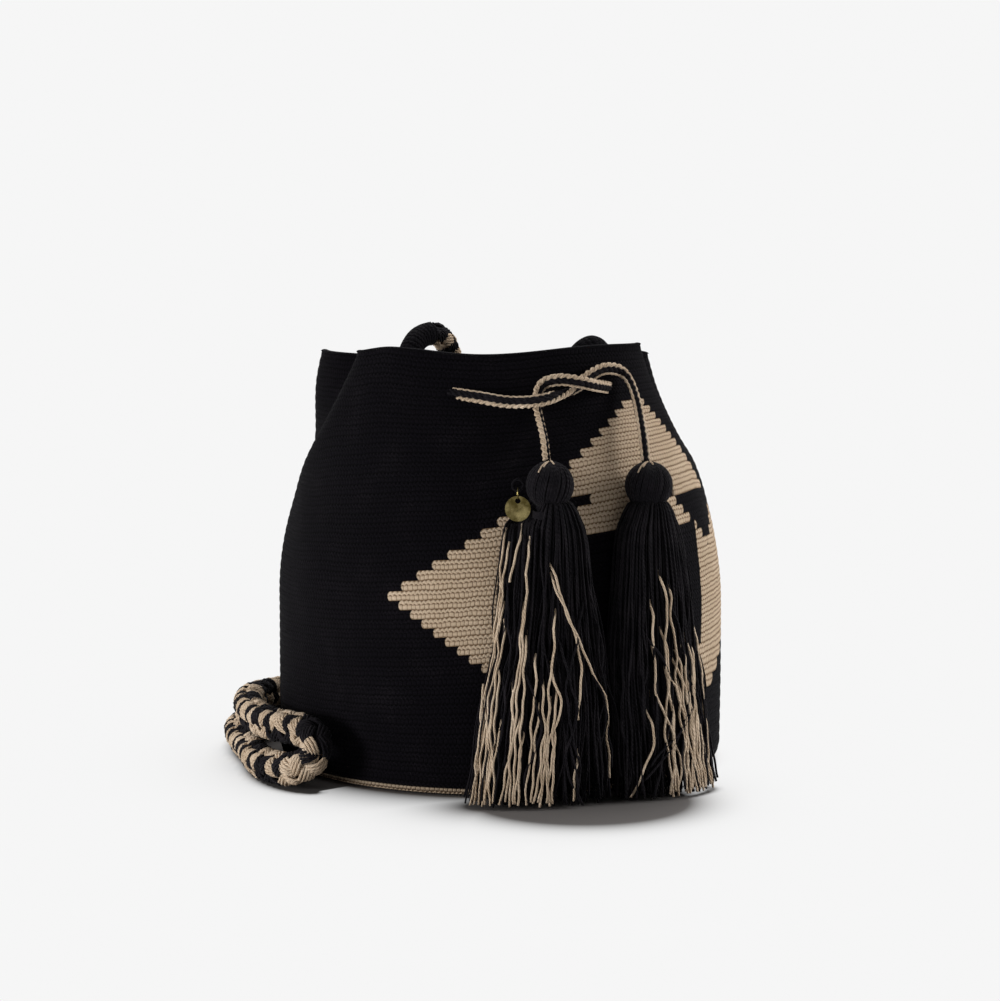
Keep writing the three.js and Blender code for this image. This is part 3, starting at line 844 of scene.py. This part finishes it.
# Beige threads on the front of each tassel: how far down, and how far across from -1 at the left to 1.
BEIGE_STRANDS = {
    "left": [
        [(0.06, -0.98), (0.2, -0.98), (0.45, -1.0), (0.7, -0.98), (1, -1.04)],
        [(0.1, -0.88), (0.3, -0.94), (0.5, -0.97), (0.75, -1.02), (1, -0.98)],
        [(0.24, -0.98), (0.5, -0.92), (0.8, -0.95), (1, -0.93)],
        [(0.3, -0.9), (0.55, -0.98), (0.8, -0.9), (1, -0.88)],
        [(0.36, -0.84), (0.6, -0.88), (0.85, -0.86), (1, -0.83)],
        [(0.5, -0.86), (0.7, -0.8), (0.9, -0.8), (1, -0.78)],
        [(0.05, -0.66), (0.14, -0.74), (0.24, -0.8)],
        [(0.08, -0.48), (0.25, -0.5), (0.45, -0.5), (0.65, -0.5), (0.85, -0.54), (1, -0.58)],
        [(0.3, -0.52), (0.5, -0.54), (0.7, -0.56), (1, -0.5)],
        [(0.56, -0.6), (0.75, -0.52), (1, -0.66)],
        [(0.66, -0.42), (0.82, -0.48), (1, -0.42)],
        [(0.72, -0.34), (0.86, -0.4), (1, -0.36)],
        [(0.16, -0.06), (0.27, 0.18), (0.37, 0.4), (0.47, 0.6), (0.64, 0.93), (0.8, 0.97), (0.93, 0.98)],
        [(0.2, -0.02), (0.3, 0.22), (0.4, 0.45), (0.49, 0.54), (0.64, 0.5), (0.72, 0.48)],
        [(0.5, 0.04), (0.58, 0.12), (0.66, 0.2), (0.8, 0.02), (1, -0.08)],
        [(0.62, 0.06), (0.8, -0.06), (1, -0.16)],
        [(0.7, 0.14), (0.85, 0.08), (1, 0.04)],
        [(0.78, -0.04), (0.9, 0.02), (1, 0.1)],
        [(0.8, 0.5), (0.9, 0.42), (1, 0.46)],
    ],
    "right": [
        [(0.2, -0.2), (0.35, -0.14), (0.54, -0.22), (0.62, 0.0), (0.76, 0.14), (0.9, 0.06), (1, 0.1)],
        [(0.24, 0.02), (0.38, -0.04), (0.5, 0.04), (0.6, -0.02), (0.7, 0.08)],
        [(0.46, -0.42), (0.64, -0.4), (0.8, -0.12), (1, -0.3)],
        [(0.5, -0.02), (0.65, 0.24), (0.78, 0.3), (1, 0.24)],
        [(0.46, 0.26), (0.62, 0.24), (0.8, 0.34), (1, 0.42)],
        [(0.45, 0.5), (0.62, 0.5), (0.8, 0.42), (1, 0.5)],
        [(0.54, 0.4), (0.7, 0.42), (0.85, 0.3), (1, 0.34)],
        [(0.68, -0.56), (0.8, -0.52), (0.9, -0.74), (1, -0.96)],
        [(0.58, 0.1), (0.74, 0.04), (0.88, 0.16), (1, 0.0)],
        [(0.7, 0.5), (0.85, 0.6), (1, 0.56)],
        [(0.74, 0.2), (0.88, 0.24), (1, 0.16)],
        [(0.8, 0.66), (0.9, 0.74), (1, 0.86)],
        [(0.8, -0.06), (0.9, -0.02), (1, -0.14)],
        [(0.3, -0.4), (0.38, -0.46), (0.48, -0.44)],
    ],
}
BLACK_STRANDS = {
    "left": [
        [(0.3, 0.7), (0.6, 0.3), (0.85, 0.5), (1, 0.44)],
        [(0.5, -0.5), (0.7, -0.1), (0.9, -0.3), (1, -0.2)],
        [(0.4, 0.1), (0.65, 0.45), (0.85, 0.3), (1, 0.6)],
        [(0.5, 0.7), (0.7, 0.96), (0.9, 1.02)],
        [(0.2, -0.9), (0.5, -0.7), (0.8, -0.7), (1, -0.72)],
    ],
    "right": [
        [(0.6, 0.5), (0.72, 0.26), (0.84, -0.44), (0.9, -0.7)],
        [(0.66, 0.3), (0.8, -0.1), (0.9, -0.6), (0.95, -0.9)],
        [(0.4, -0.6), (0.6, -0.1), (0.8, -0.3), (1, -0.6)],
        [(0.5, 0.7), (0.7, 0.92), (0.86, 1.02), (0.98, 1.12)],
        [(0.45, 0.6), (0.66, 0.8), (0.86, 0.92), (1, 1.06)],
        [(0.55, 0.3), (0.72, 0.66), (0.88, 0.84), (1, 0.98)],
        [(0.3, 0.0), (0.6, 0.3), (0.85, 0.0), (1, 0.12)],
        [(0.5, -0.9), (0.7, -0.96), (0.9, -0.9), (1, -1.0)],
    ],
}
SHORT_BEIGE = 9
PALE_GROUPS = {"left": (-0.95, -0.85, -0.5, -0.1, 0.1), "right": (-0.1, 0.15, 0.3, 0.5, 0.65)}


def on_ball(head, r, rise, lon):
    """Points round the head at distance r, rise above its middle and turn lon."""
    level = r * np.cos(rise)
    return head + np.stack([level * np.cos(lon), level * np.sin(lon), r * np.sin(rise)], -1)


def wound_ball(side, head, draw):
    """A ball wound with threads from pole to pole, and a few short beige ones on its crown."""
    ball = Mesh()
    lat = np.linspace(-0.5, 0.5, 19)[1:-1] * np.pi
    a = np.arange(CORE_SIDES) * 2 * np.pi / CORE_SIDES
    rise, lon = np.meshgrid(lat, a, indexing="ij")
    core = on_ball(head, HEAD_RADIUS - CORE_INSET, rise, lon)
    ball.grid(core, np.zeros((len(lat), CORE_SIDES + 1, 2)))
    for i in range(WRAPS):
        lon = 2 * np.pi * i / WRAPS + draw.normal(0, 0.015)
        t = np.linspace(-0.46, 0.47, 20) * np.pi
        swing = lon + 0.22 * np.sin(t) + draw.normal(0, 0.05) * np.cos(t)
        r = HEAD_RADIUS - WRAP_INSET + 0.3 * draw.random() - 0.1 * np.abs(np.sin(t)) ** 4
        ball.thread(on_ball(head, r, t, swing), WRAP_RADIUS, 5, 0, turn=draw.random())
    for lon, low, high in CROWN_THREADS:
        t = np.linspace(high, low, 8) * np.pi
        ball.thread(on_ball(head, HEAD_RADIUS - CROWN_INSET, t, lon), CROWN_RADIUS, 5, 1)
    return ball.make(f"tassel_{side}_ball", [black_thread, beige_thread])


def neck_wraps(side, head, neck_top):
    """One thread wound round the neck under the head."""
    neck = Mesh()
    turns = np.linspace(0, NECK_TURNS * 2 * np.pi, 150)
    reach = NECK_RADIUS + NECK_WRAP_OUT
    drop = 0.2 + turns / (2 * np.pi) * NECK_PITCH
    p = np.stack([head[0] + reach * np.cos(turns), head[1] + reach * np.sin(turns), neck_top - drop], -1)
    neck.thread(p, NECK_WRAP_RADIUS, 5, 0)
    return neck.make(f"tassel_{side}_wraps", [black_thread])


def tassel(side):
    """The wound ball, the wraps round the neck and the hanging threads of one tassel."""
    draw = np.random.default_rng(TASSEL_SEED[side])
    head = np.array(TASSELS[side]["head"], float)
    foot = np.array([*TASSELS[side]["foot"], 0.0])
    facing = math.radians(TASSELS[side]["facing"])
    deep = TASSELS[side]["deep"]
    neck_top = head[2] - HEAD_RADIUS - 0.3
    out = np.array([math.cos(facing), math.sin(facing), 0])
    across = np.array([-out[1], out[0], 0])
    skirt = Mesh()
    left_reach, right_reach = SPREAD[side]

    def hang(down, x, y, radius, slot):
        """One thread whose places across and outward are given at each share of the way down."""
        height = neck_top * (1 - down) + SHOULDER_RISE * (1 - smooth(down, 0, SHOULDER_SHARE))
        centre = foot * down[:, None] + head * [1, 1, 0] * (1 - down)[:, None]
        p = centre + across * x[:, None] + out * y[:, None]
        p[:, 2] = np.maximum(height, radius + 0.4)
        # No thread passes into the wall, and the ones behind the charm leave it room to swing.
        reach = np.hypot(p[:, 0], p[:, 1])
        clear = plain_radius(p[:, 2]) + WALL_CLEAR
        push = np.maximum(reach, np.where(down > 0.06, clear, 0)) / np.maximum(reach, 1e-6)
        p[:, :2] *= push[:, None]
        from_charm = np.hypot(p[:, 0] - CHARM[0], p[:, 2] - CHARM[2])
        behind = np.clip((CHARM_CLEAR - from_charm) / CHARM_FADE, 0, 1)
        p[:, 1] += behind * np.maximum(CHARM[1] - p[:, 1], 0)
        skirt.thread(p, radius, 5, slot, turn=draw.random())

    t = np.linspace(0, 1, STRAND_STEPS) ** 1.5
    for _ in range(STRANDS):
        a = draw.uniform(0, 2 * np.pi)
        rho = draw.uniform(0.05, 1.0) ** 0.35
        low = draw.uniform(0.965, 0.99) if draw.random() < 0.6 else draw.uniform(0.9, 0.985)
        down = t * low
        reach = left_reach if math.cos(a) < 0 else right_reach
        half_wide = np.interp(down, STATIONS, reach)
        half_deep = deep * np.interp(down, *DEEPEN)
        # A thread strays from its place the further down it hangs.
        loose = np.clip((down - 0.05) / 0.5, 0, 1)
        phase = draw.uniform(0, 6.28, 4)
        wander = draw.normal(0, 1.9) * np.sin(down * draw.uniform(4, 9) + phase[0])
        wander = wander + draw.normal(0, 0.8) * np.sin(down * draw.uniform(14, 26) + phase[1])
        stray = draw.normal(0, 2.6) * down**2
        x = rho * math.cos(a) * half_wide + wander * loose + stray
        y = rho * math.sin(a) * half_deep + 0.9 * loose * draw.normal(0, 1) * np.sin(down * 8 + phase[2])
        hang(down, x, y, draw.uniform(0.36, 0.5), 0)
    short = []
    for _ in range(SHORT_BEIGE):
        middle = PALE_GROUPS[side][draw.integers(len(PALE_GROUPS[side]))]
        q = np.clip(middle + draw.normal(0, 0.12), -1, 1)
        first = draw.uniform(0.3, 0.75)
        upper, lower = draw.normal(0, 0.05), draw.normal(0, 0.05)
        short.append([(first, q + upper), ((first + 1) / 2, q + lower), (1, q)])
    for slot, strands in ((1, BEIGE_STRANDS[side] + short), (0, BLACK_STRANDS[side])):
        for knots in strands:
            down = np.linspace(knots[0][0], knots[-1][0] * draw.uniform(0.97, 0.99), 30)
            place = Line([(d * 100, q, 0) for d, q in knots], 12).points
            across_here = np.interp(down * 100, place[:, 0], place[:, 1])
            phase = draw.uniform(0, 6.28)
            left_wide = np.interp(down, STATIONS, left_reach)
            right_wide = np.interp(down, STATIONS, right_reach)
            x = across_here * np.where(across_here < 0, left_wide, right_wide)
            x = x + 0.45 * np.sin(down * 30 + phase) + 0.3 * np.sin(down * 61 + 2 * phase)
            share = np.clip(np.abs(across_here), 0, 0.97)
            sunk = 1 - 0.25 * (1 - smooth(down - down[0], 0, 0.06))
            y = sunk * (deep * np.interp(down, *DEEPEN) * np.sqrt(1 - share**2) + 0.9)
            hang(down, x, y, STRAND_RADIUS, slot)
    skirt_piece = skirt.make(f"tassel_{side}_threads", [black_thread, beige_thread])
    return wound_ball(side, head, draw), neck_wraps(side, head, neck_top), skirt_piece


left_ball, left_neck, left_skirt = tassel("left")
right_ball, right_neck, right_skirt = tassel("right")

# The charm hangs in a thread loop at the left tassel's neck

LOOP_CENTRE = np.array([8.3, -107.0, 147.8])
LOOP_RADIUS = 2.6
LOOP_THICKNESS = 0.55
loop = Mesh()
a = np.linspace(0, 2 * np.pi, 33)
loop.thread(LOOP_CENTRE + LOOP_RADIUS * np.stack([np.cos(a), 0 * a, np.sin(a)], -1), LOOP_THICKNESS, 6, 0)
charm_thread = loop.make("charm_thread", [black_thread])

BRASS_DARK = (0.085, 0.066, 0.02, 1)
BRASS_BRIGHT = (0.33, 0.27, 0.12, 1)
EDGE_BEVEL = 0.00012
brass = Material("worn_brass")
scratch = brass.noise(700.0, 4.0, 0.7)
tarnish = brass.noise(160.0, 3.0, 0.6)
brass_colour = brass.mix(brass.ramp(tarnish, 0.35, 0.7), BRASS_DARK, BRASS_BRIGHT)
brass.finish(
    brass_colour,
    brass.bump(scratch, 0.0002, 0.3),
    roughness=brass.ramp(scratch, 0.3, 0.8, 0.22, 0.42, "LINEAR"),
    metallic=1.0,
    specular=0.5,
)
for name in ("jump_ring", "charm_disc"):
    node = NODES[name]
    node.data.materials.clear()
    node.data.materials.append(brass.material)
    bevel = node.modifiers.new("edges", "BEVEL")
    bevel.width = EDGE_BEVEL
    bevel.segments = 2
    bevel.limit_method = "ANGLE"

# Which body each piece rides on, and which solids it stands for

for piece, nodes, slot in (
    (bag_wall, ("bag_body",), "crochet"),
    (bag_base, (), "crochet"),
    (drawstring, ("drawstring",), "cord"),
    (left_ball, ("tassel_left_head",), "black_thread"),
    (left_neck, ("tassel_left_binding",), "black_thread"),
    (left_skirt, ("tassel_left_skirt",), "tassel_thread"),
    (right_ball, ("tassel_right_head",), "black_thread"),
    (right_neck, ("tassel_right_binding",), "black_thread"),
    (right_skirt, ("tassel_right_skirt",), "tassel_thread"),
    (charm_thread, ("charm_loop",), "black_thread"),
    (strap_braid, ("strap",), "strap_braid"),
    (tab_right, ("strap_tab_right",), "crochet"),
    (tab_left, ("strap_tab_left",), "crochet"),
):
    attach(piece, "bag")
    if nodes:
        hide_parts(*nodes)

# Floor, backdrop and light

BACKDROP = (0.921, 0.921, 0.921, 1)
FLOOR_FAR = [0.6, 1.5, 6.0]
FLOOR_NEAR = 0.24
FADE = 0.014
FADE_START = 0.003
SHADE_EDGE = 0.03
STRAP_HIDES = 0.002
SHADE_PLACE = np.array([38, -116]) * MM
SHADE_REACH = np.array([72, 74]) * MM
PAPER_DARK = (0.80, 0.80, 0.80, 1)
PAPER_LIGHT = (0.82, 0.82, 0.82, 1)
# The paper's colour where the gap is small: painted shade.
PAPER_PAINTED_SHADE = (0.16, 0.15, 0.145, 1)


def floor_contact():
    """Places where the bag and its tassels stand on the floor, in millimetres."""
    turn = np.radians(np.arange(0, 360, 2))
    ring = np.stack([np.cos(turn), np.sin(turn)], -1)
    places = [BASE_RADIUS * ring]
    for spec in TASSELS.values():
        out = np.radians(spec["facing"])
        across = np.array([math.sin(out), -math.cos(out)])
        outward = np.array([math.cos(out), math.sin(out)])
        oval = spec["wide"] * ring[:, :1] * across + spec["deep"] * ring[:, 1:] * outward
        places.append(np.array(spec["foot"]) + oval)
    return np.vstack(places)


spots = np.concatenate([-np.array(FLOOR_FAR[::-1]), np.linspace(-FLOOR_NEAR, FLOOR_NEAR, 161), FLOOR_FAR])
grid_x, grid_y = np.meshgrid(spots, spots)
floor_flat = np.stack([grid_x.ravel(), grid_y.ravel()], -1)


def nearest(places):
    """How far each point of the floor lies from the nearest of the places."""
    return np.min([np.hypot(*(floor_flat - place).T) for place in places * MM], axis=0)


low_strap = strap_points[strap_points[:, 2] < STRAP_DIAMETER]
beside_strap = np.maximum(nearest(low_strap[:, :2]) - STRAP_HIDES, 0)
# The right side has hardly any shade: little painted shade, and the glow covers the lamps' shadows sooner
# there.
bright_side = np.interp(floor_flat[:, 0], [-0.02, 0.06, 0.11], [0.6, 1, 4])
gap = np.minimum(bright_side * nearest(floor_contact()), 3 * beside_strap)
# Between the strap and the bag the floor has no glow of its own and takes the painted shade colour.
strap_turn = np.mod(np.degrees(np.arctan2(low_strap[:, 1], low_strap[:, 0])), 360)
order = np.argsort(strap_turn)
strap_reach = np.hypot(low_strap[:, 0], low_strap[:, 1])[order] * MM
floor_turn = np.mod(np.degrees(np.arctan2(floor_flat[:, 1], floor_flat[:, 0])), 360)
under_bag = BASE_RADIUS * MM
enclosed = np.interp(floor_turn, strap_turn[order], strap_reach, left=under_bag, right=under_bag)
gap = np.where(np.hypot(*floor_flat.T) < enclosed, 0, gap)
# The light comes from behind, so a painted shade, an oval in front of the tassels, reaches forward.
shade_share = np.hypot(*((floor_flat - SHADE_PLACE) / SHADE_REACH).T)
gap = np.minimum(gap, 0.06 * np.maximum(shade_share - 0.65, 0))
side_count = len(spots)
first = (np.arange(side_count - 1)[:, None] * side_count + np.arange(side_count - 1)).ravel()
floor_faces = np.stack([first, first + 1, first + side_count + 1, first + side_count], -1)
floor_mesh = bpy.data.meshes.new("floor")
floor_mesh.from_pydata(np.column_stack([floor_flat, 0 * gap]).tolist(), [], floor_faces.tolist())
floor_mesh.attributes.new("gap", "FLOAT", "POINT").data.foreach_set("value", gap.astype(np.float32))
floor = bpy.data.objects.new("floor", floor_mesh)
scene.collection.objects.link(floor)
f = Material("floor_paper")
f.tree.nodes.remove(f.shader)
output = f.tree.nodes["Material Output"]
past = f.larger(f.subtract(f.attribute("gap"), FADE_START), 0.0)
far = f.subtract(1.0, f.math("POWER", math.e, f.multiply(past, -1 / FADE)))
diffuse = f.new("ShaderNodeBsdfDiffuse")
grain = f.noise(300.0, 2.0, 0.5)
paper = f.mix(grain, PAPER_DARK, PAPER_LIGHT)
# Painted shade: the paper darkens near the bag, inside the strap's loop and in the oval in front of the
# tassels.
paper_with_painted_shade = f.mix(f.ramp(f.attribute("gap"), 0.0, SHADE_EDGE), PAPER_PAINTED_SHADE, paper)
f.join(paper_with_painted_shade, diffuse.inputs["Color"])
glow = f.new("ShaderNodeEmission")
glow.inputs["Color"].default_value = BACKDROP
glow.inputs["Strength"].default_value = 1.0
rays = f.new("ShaderNodeLightPath").outputs
seen = f.larger(rays["Is Camera Ray"], rays["Is Transmission Ray"])
seen = f.larger(seen, rays["Is Glossy Ray"])
blend = f.new("ShaderNodeMixShader")
f.join(f.multiply(far, seen), blend.inputs[0])
f.join(diffuse.outputs[0], blend.inputs[1])
f.join(glow.outputs[0], blend.inputs[2])
f.join(blend.outputs[0], output.inputs["Surface"])
floor_mesh.materials.append(f.material)

world = bpy.data.worlds.new("studio")
scene.world = world
world.use_nodes = True
w = Nodes(world.node_tree)
back = w.tree.nodes["Background"]
# The room is bright behind and beside the bag and dark on the camera's side.
direction = w.new("ShaderNodeSeparateXYZ")
w.join(w.new("ShaderNodeTexCoord").outputs["Generated"], direction.inputs[0])
back.inputs["Color"].default_value = (1, 1, 1, 1)
w.join(w.ramp(direction.outputs["Y"], -0.75, 0.35, 0.06, 0.60), back.inputs["Strength"])
seen_back = w.new("ShaderNodeBackground")
seen_back.inputs["Color"].default_value = BACKDROP
rays = w.new("ShaderNodeLightPath").outputs
either = w.larger(rays["Is Camera Ray"], rays["Is Transmission Ray"])
pick = w.new("ShaderNodeMixShader")
w.join(either, pick.inputs[0])
w.join(back.outputs[0], pick.inputs[1])
w.join(seen_back.outputs[0], pick.inputs[2])
w.join(pick.outputs[0], w.tree.nodes["World Output"].inputs["Surface"])


def lamp(name, place, aim, size, power):
    """A round lamp at a place, aimed at a point."""
    data = bpy.data.lights.new(name, "AREA")
    data.shape = "DISK"
    data.size = size
    data.energy = power
    thing = bpy.data.objects.new(name, data)
    thing.location = place
    thing.rotation_euler = (Vector(aim) - Vector(place)).to_track_quat("-Z", "Y").to_euler()
    scene.collection.objects.link(thing)


lamp("top_light", (0.2, 0.8, 1.5), (0, 0, 0.08), 1.1, 15)
lamp("right_light", (1.5, -0.1, 0.7), (0, 0, 0.1), 0.9, 14)
lamp("left_light", (-1.5, -0.9, 0.25), (0, 0, 0.06), 0.6, 21)
